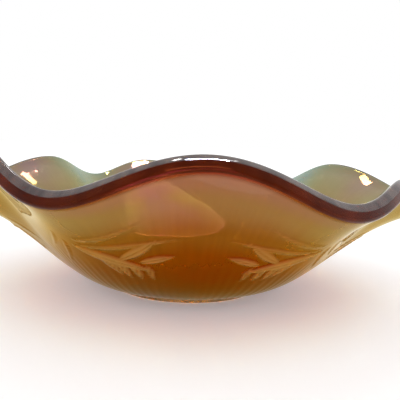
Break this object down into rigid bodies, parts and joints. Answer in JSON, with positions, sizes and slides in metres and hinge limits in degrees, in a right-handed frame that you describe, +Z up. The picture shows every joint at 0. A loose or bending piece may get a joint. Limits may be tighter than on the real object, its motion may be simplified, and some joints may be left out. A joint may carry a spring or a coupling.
{
  "type": "carnival glass bowl",
  "caption": "Shallow ruffled bowl of pressed iridescent glass on a low round collar foot, with a thick rounded rim.",
  "frame": {"origin": "on the resting plane, under the centre of the foot ring", "axes": "+Z up out of the bowl's mouth, -Y towards the front, where a ruffle crest stands, +X to the right"},
  "size_m": [0.23, 0.223, 0.0724],
  "materials": {
    "amber_glass": "pressed, fire-polished, iridescent film",
    "marigold_glass": "pressed, fire-polished, iridescent film",
    "smoky_rim_glass": "fire-polished edge, iridescent film"
  },
  "bodies": {
    "root": {"foot_ring": "amber_glass", "well_floor": "amber_glass", "bowl_wall": "marigold_glass", "rim_band": "smoky_rim_glass"}
  },
  "joints": []
}
